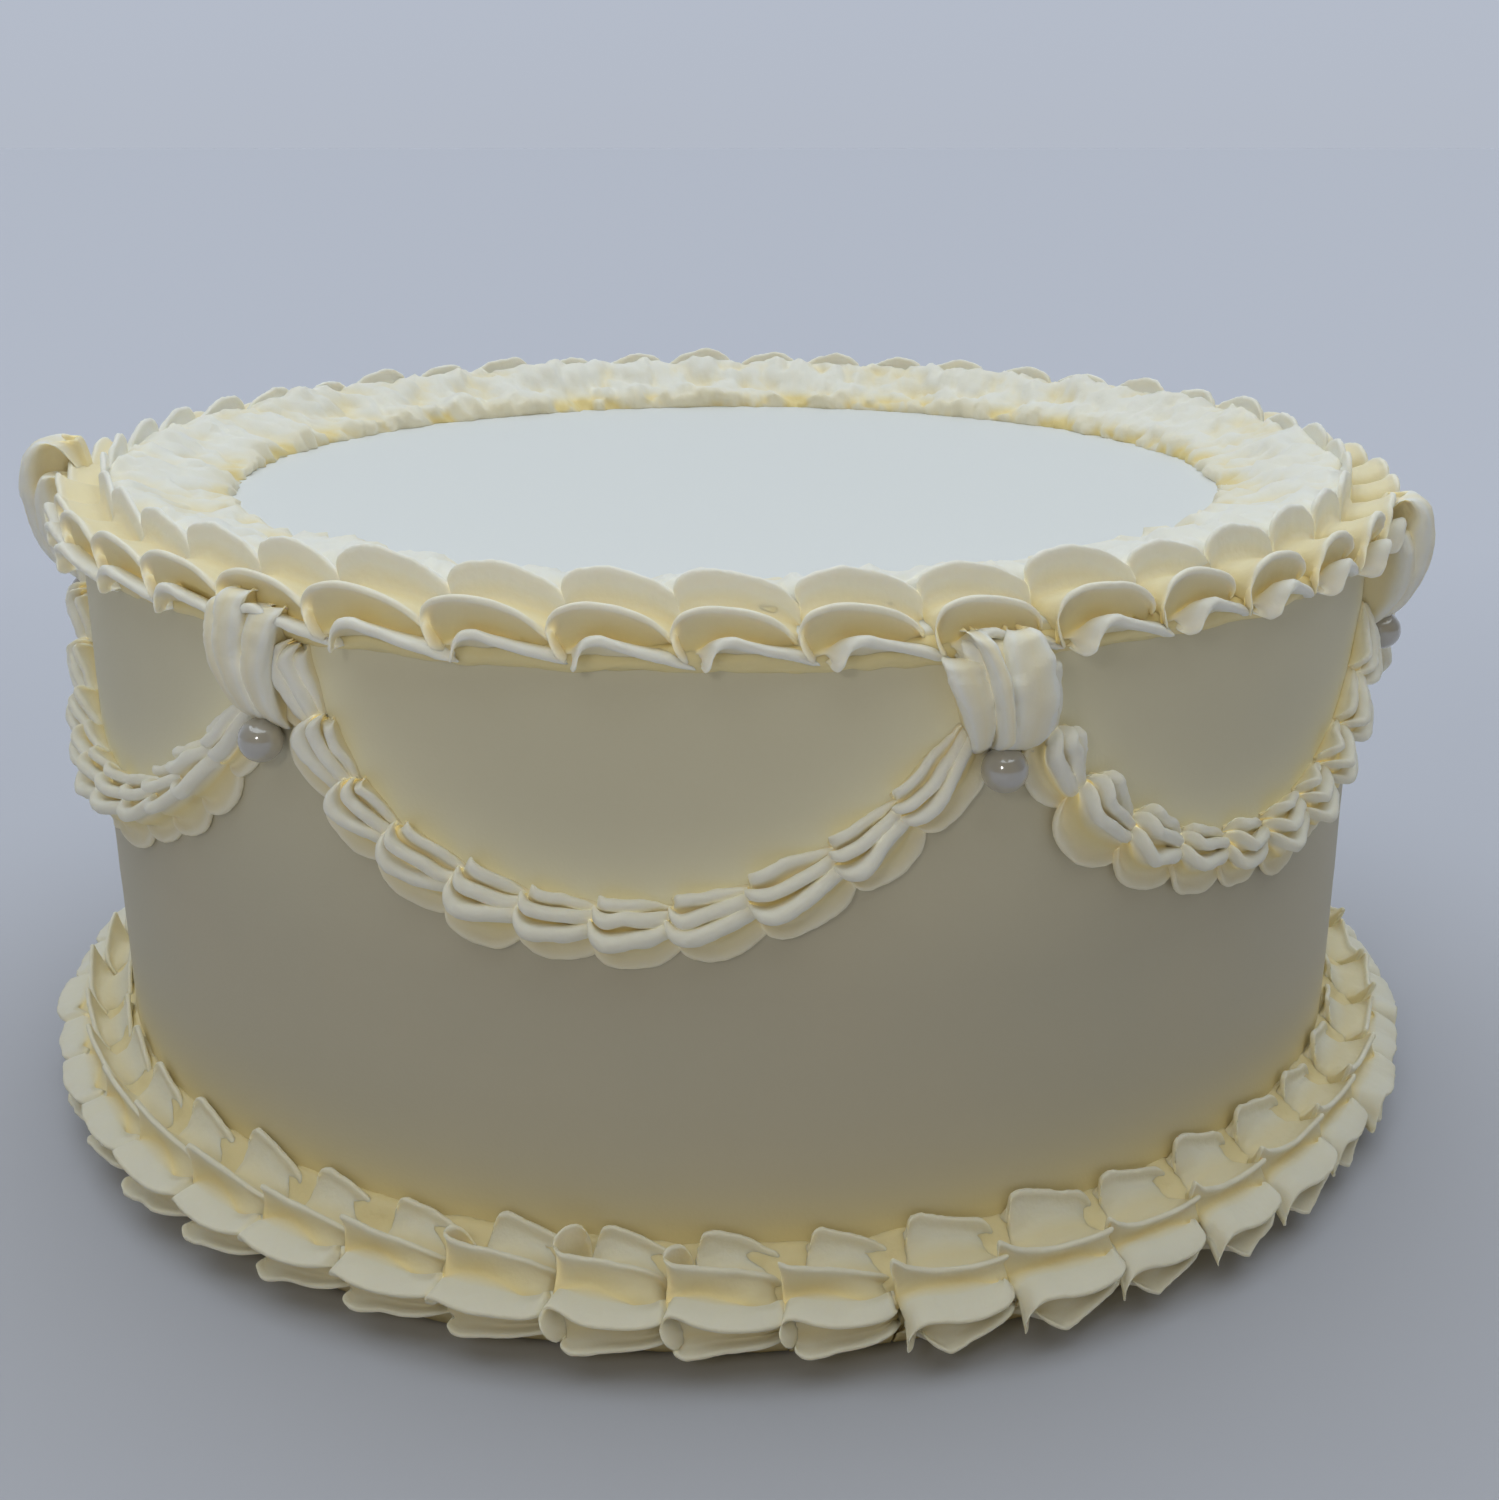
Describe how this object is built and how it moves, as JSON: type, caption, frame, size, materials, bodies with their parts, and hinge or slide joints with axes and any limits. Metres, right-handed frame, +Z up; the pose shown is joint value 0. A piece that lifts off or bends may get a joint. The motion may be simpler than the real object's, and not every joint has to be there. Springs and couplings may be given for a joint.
{
  "type": "vanilla cake",
  "caption": "Round buttercream-iced vanilla cake with shell borders at its top edge and foot, hanging swags, ridged bows and sugar pearls.",
  "frame": {"origin": "middle of the cake's flat base, on the surface it stands on", "axes": "+Z up along the cake's axis; -Y is the front, the side the picture looks at; +X to the right of that view"},
  "size_m": [0.2858, 0.2858, 0.1292],
  "materials": {
    "smooth_icing": "smooth ivory buttercream, soft satin, slightly translucent",
    "piped_icing": "piped ivory buttercream, soft satin, slightly translucent",
    "pearl": "pearly sugar coating, pale lilac grey"
  },
  "bodies": {
    "root": {"cake": "smooth_icing", "top_border": "piped_icing", "base_border": "piped_icing", "swag_1": "piped_icing", "swag_2": "piped_icing", "swag_3": "piped_icing", "swag_4": "piped_icing", "swag_5": "piped_icing", "swag_6": "piped_icing", "swag_7": "piped_icing", "bow_1": "piped_icing", "bow_2": "piped_icing", "bow_3": "piped_icing", "bow_4": "piped_icing", "bow_5": "piped_icing", "bow_6": "piped_icing", "bow_7": "piped_icing", "pearl_1": "pearl", "pearl_2": "pearl", "pearl_3": "pearl", "pearl_4": "pearl", "pearl_5": "pearl", "pearl_6": "pearl", "pearl_7": "pearl"}
  },
  "joints": []
}
